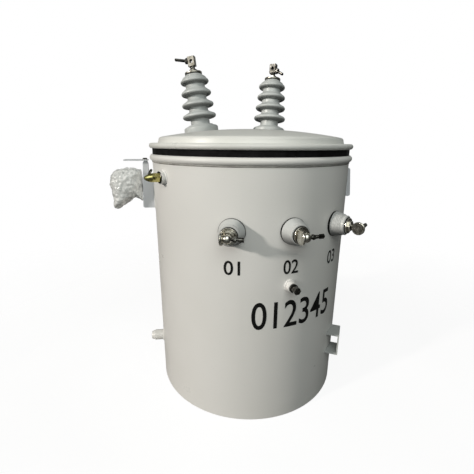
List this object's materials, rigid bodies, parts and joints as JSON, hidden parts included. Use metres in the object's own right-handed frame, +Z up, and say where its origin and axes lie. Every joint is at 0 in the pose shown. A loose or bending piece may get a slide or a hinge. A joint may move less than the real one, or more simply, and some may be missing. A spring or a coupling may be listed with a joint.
{
  "type": "pole mounted transformer",
  "caption": "Round steel tank transformer with cover bushings, wall terminals, lifting lugs and pole hangers.",
  "frame": {"origin": "centre of the base, on the floor", "axes": "+Z up along the tank; -Y is the front, where the middle low-voltage bushing points; the pole is on the +Y side"},
  "size_m": [0.602, 0.601, 0.8329],
  "materials": {
    "tank_paint": "gloss off-white enamel, slightly uneven",
    "cover_paint": "gloss off-white enamel on sheet",
    "bracket_paint": "grey-white paint, rougher",
    "gasket": "matt black",
    "inner": "plain, not seen",
    "porcelain": "glossy grey glaze",
    "terminal_metal": "tinned bronze, bright with brown in the hollows",
    "dark_metal": "dark oxidised steel",
    "brass": "dull brass",
    "bubble_wrap": "clear bubble film in many layers"
  },
  "bodies": {
    "root": {"tank_shell": "tank_paint", "tank_bottom": "tank_paint", "tank_rim": "tank_paint", "cover_gasket": "gasket", "cover": "cover_paint", "core_and_coils": "inner", "hv_collar_left": "bracket_paint", "hv_bushing_left": "porcelain", "hv_cap_left": "dark_metal", "hv_terminal_left": "terminal_metal", "hv_screw_left": "dark_metal", "hv_collar_right": "bracket_paint", "hv_bushing_right": "porcelain", "hv_cap_right": "dark_metal", "hv_terminal_right": "terminal_metal", "hv_screw_right": "dark_metal", "lv_gasket_left": "gasket", "lv_bushing_left": "porcelain", "lv_nut_left": "terminal_metal", "lv_terminal_left": "terminal_metal", "lv_screw_left": "dark_metal", "lv_gasket_middle": "gasket", "lv_bushing_middle": "porcelain", "lv_nut_middle": "terminal_metal", "lv_terminal_middle": "terminal_metal", "lv_screw_middle": "dark_metal", "lv_gasket_right": "gasket", "lv_bushing_right": "porcelain", "lv_nut_right": "terminal_metal", "lv_terminal_right": "terminal_metal", "lv_screw_right": "dark_metal", "ground_boss": "tank_paint", "ground_bolt": "dark_metal", "relief_boss": "tank_paint", "relief_valve": "brass", "relief_ring": "dark_metal", "lifting_lug_left": "bracket_paint", "lifting_lug_right": "bracket_paint", "drain_plug": "tank_paint", "side_bracket": "bracket_paint", "hanger_upper": "bracket_paint", "hanger_lower": "bracket_paint", "arrester_arm": "bracket_paint", "arrester_bolt": "dark_metal", "wrapped_arrester": "bubble_wrap"}
  },
  "joints": []
}
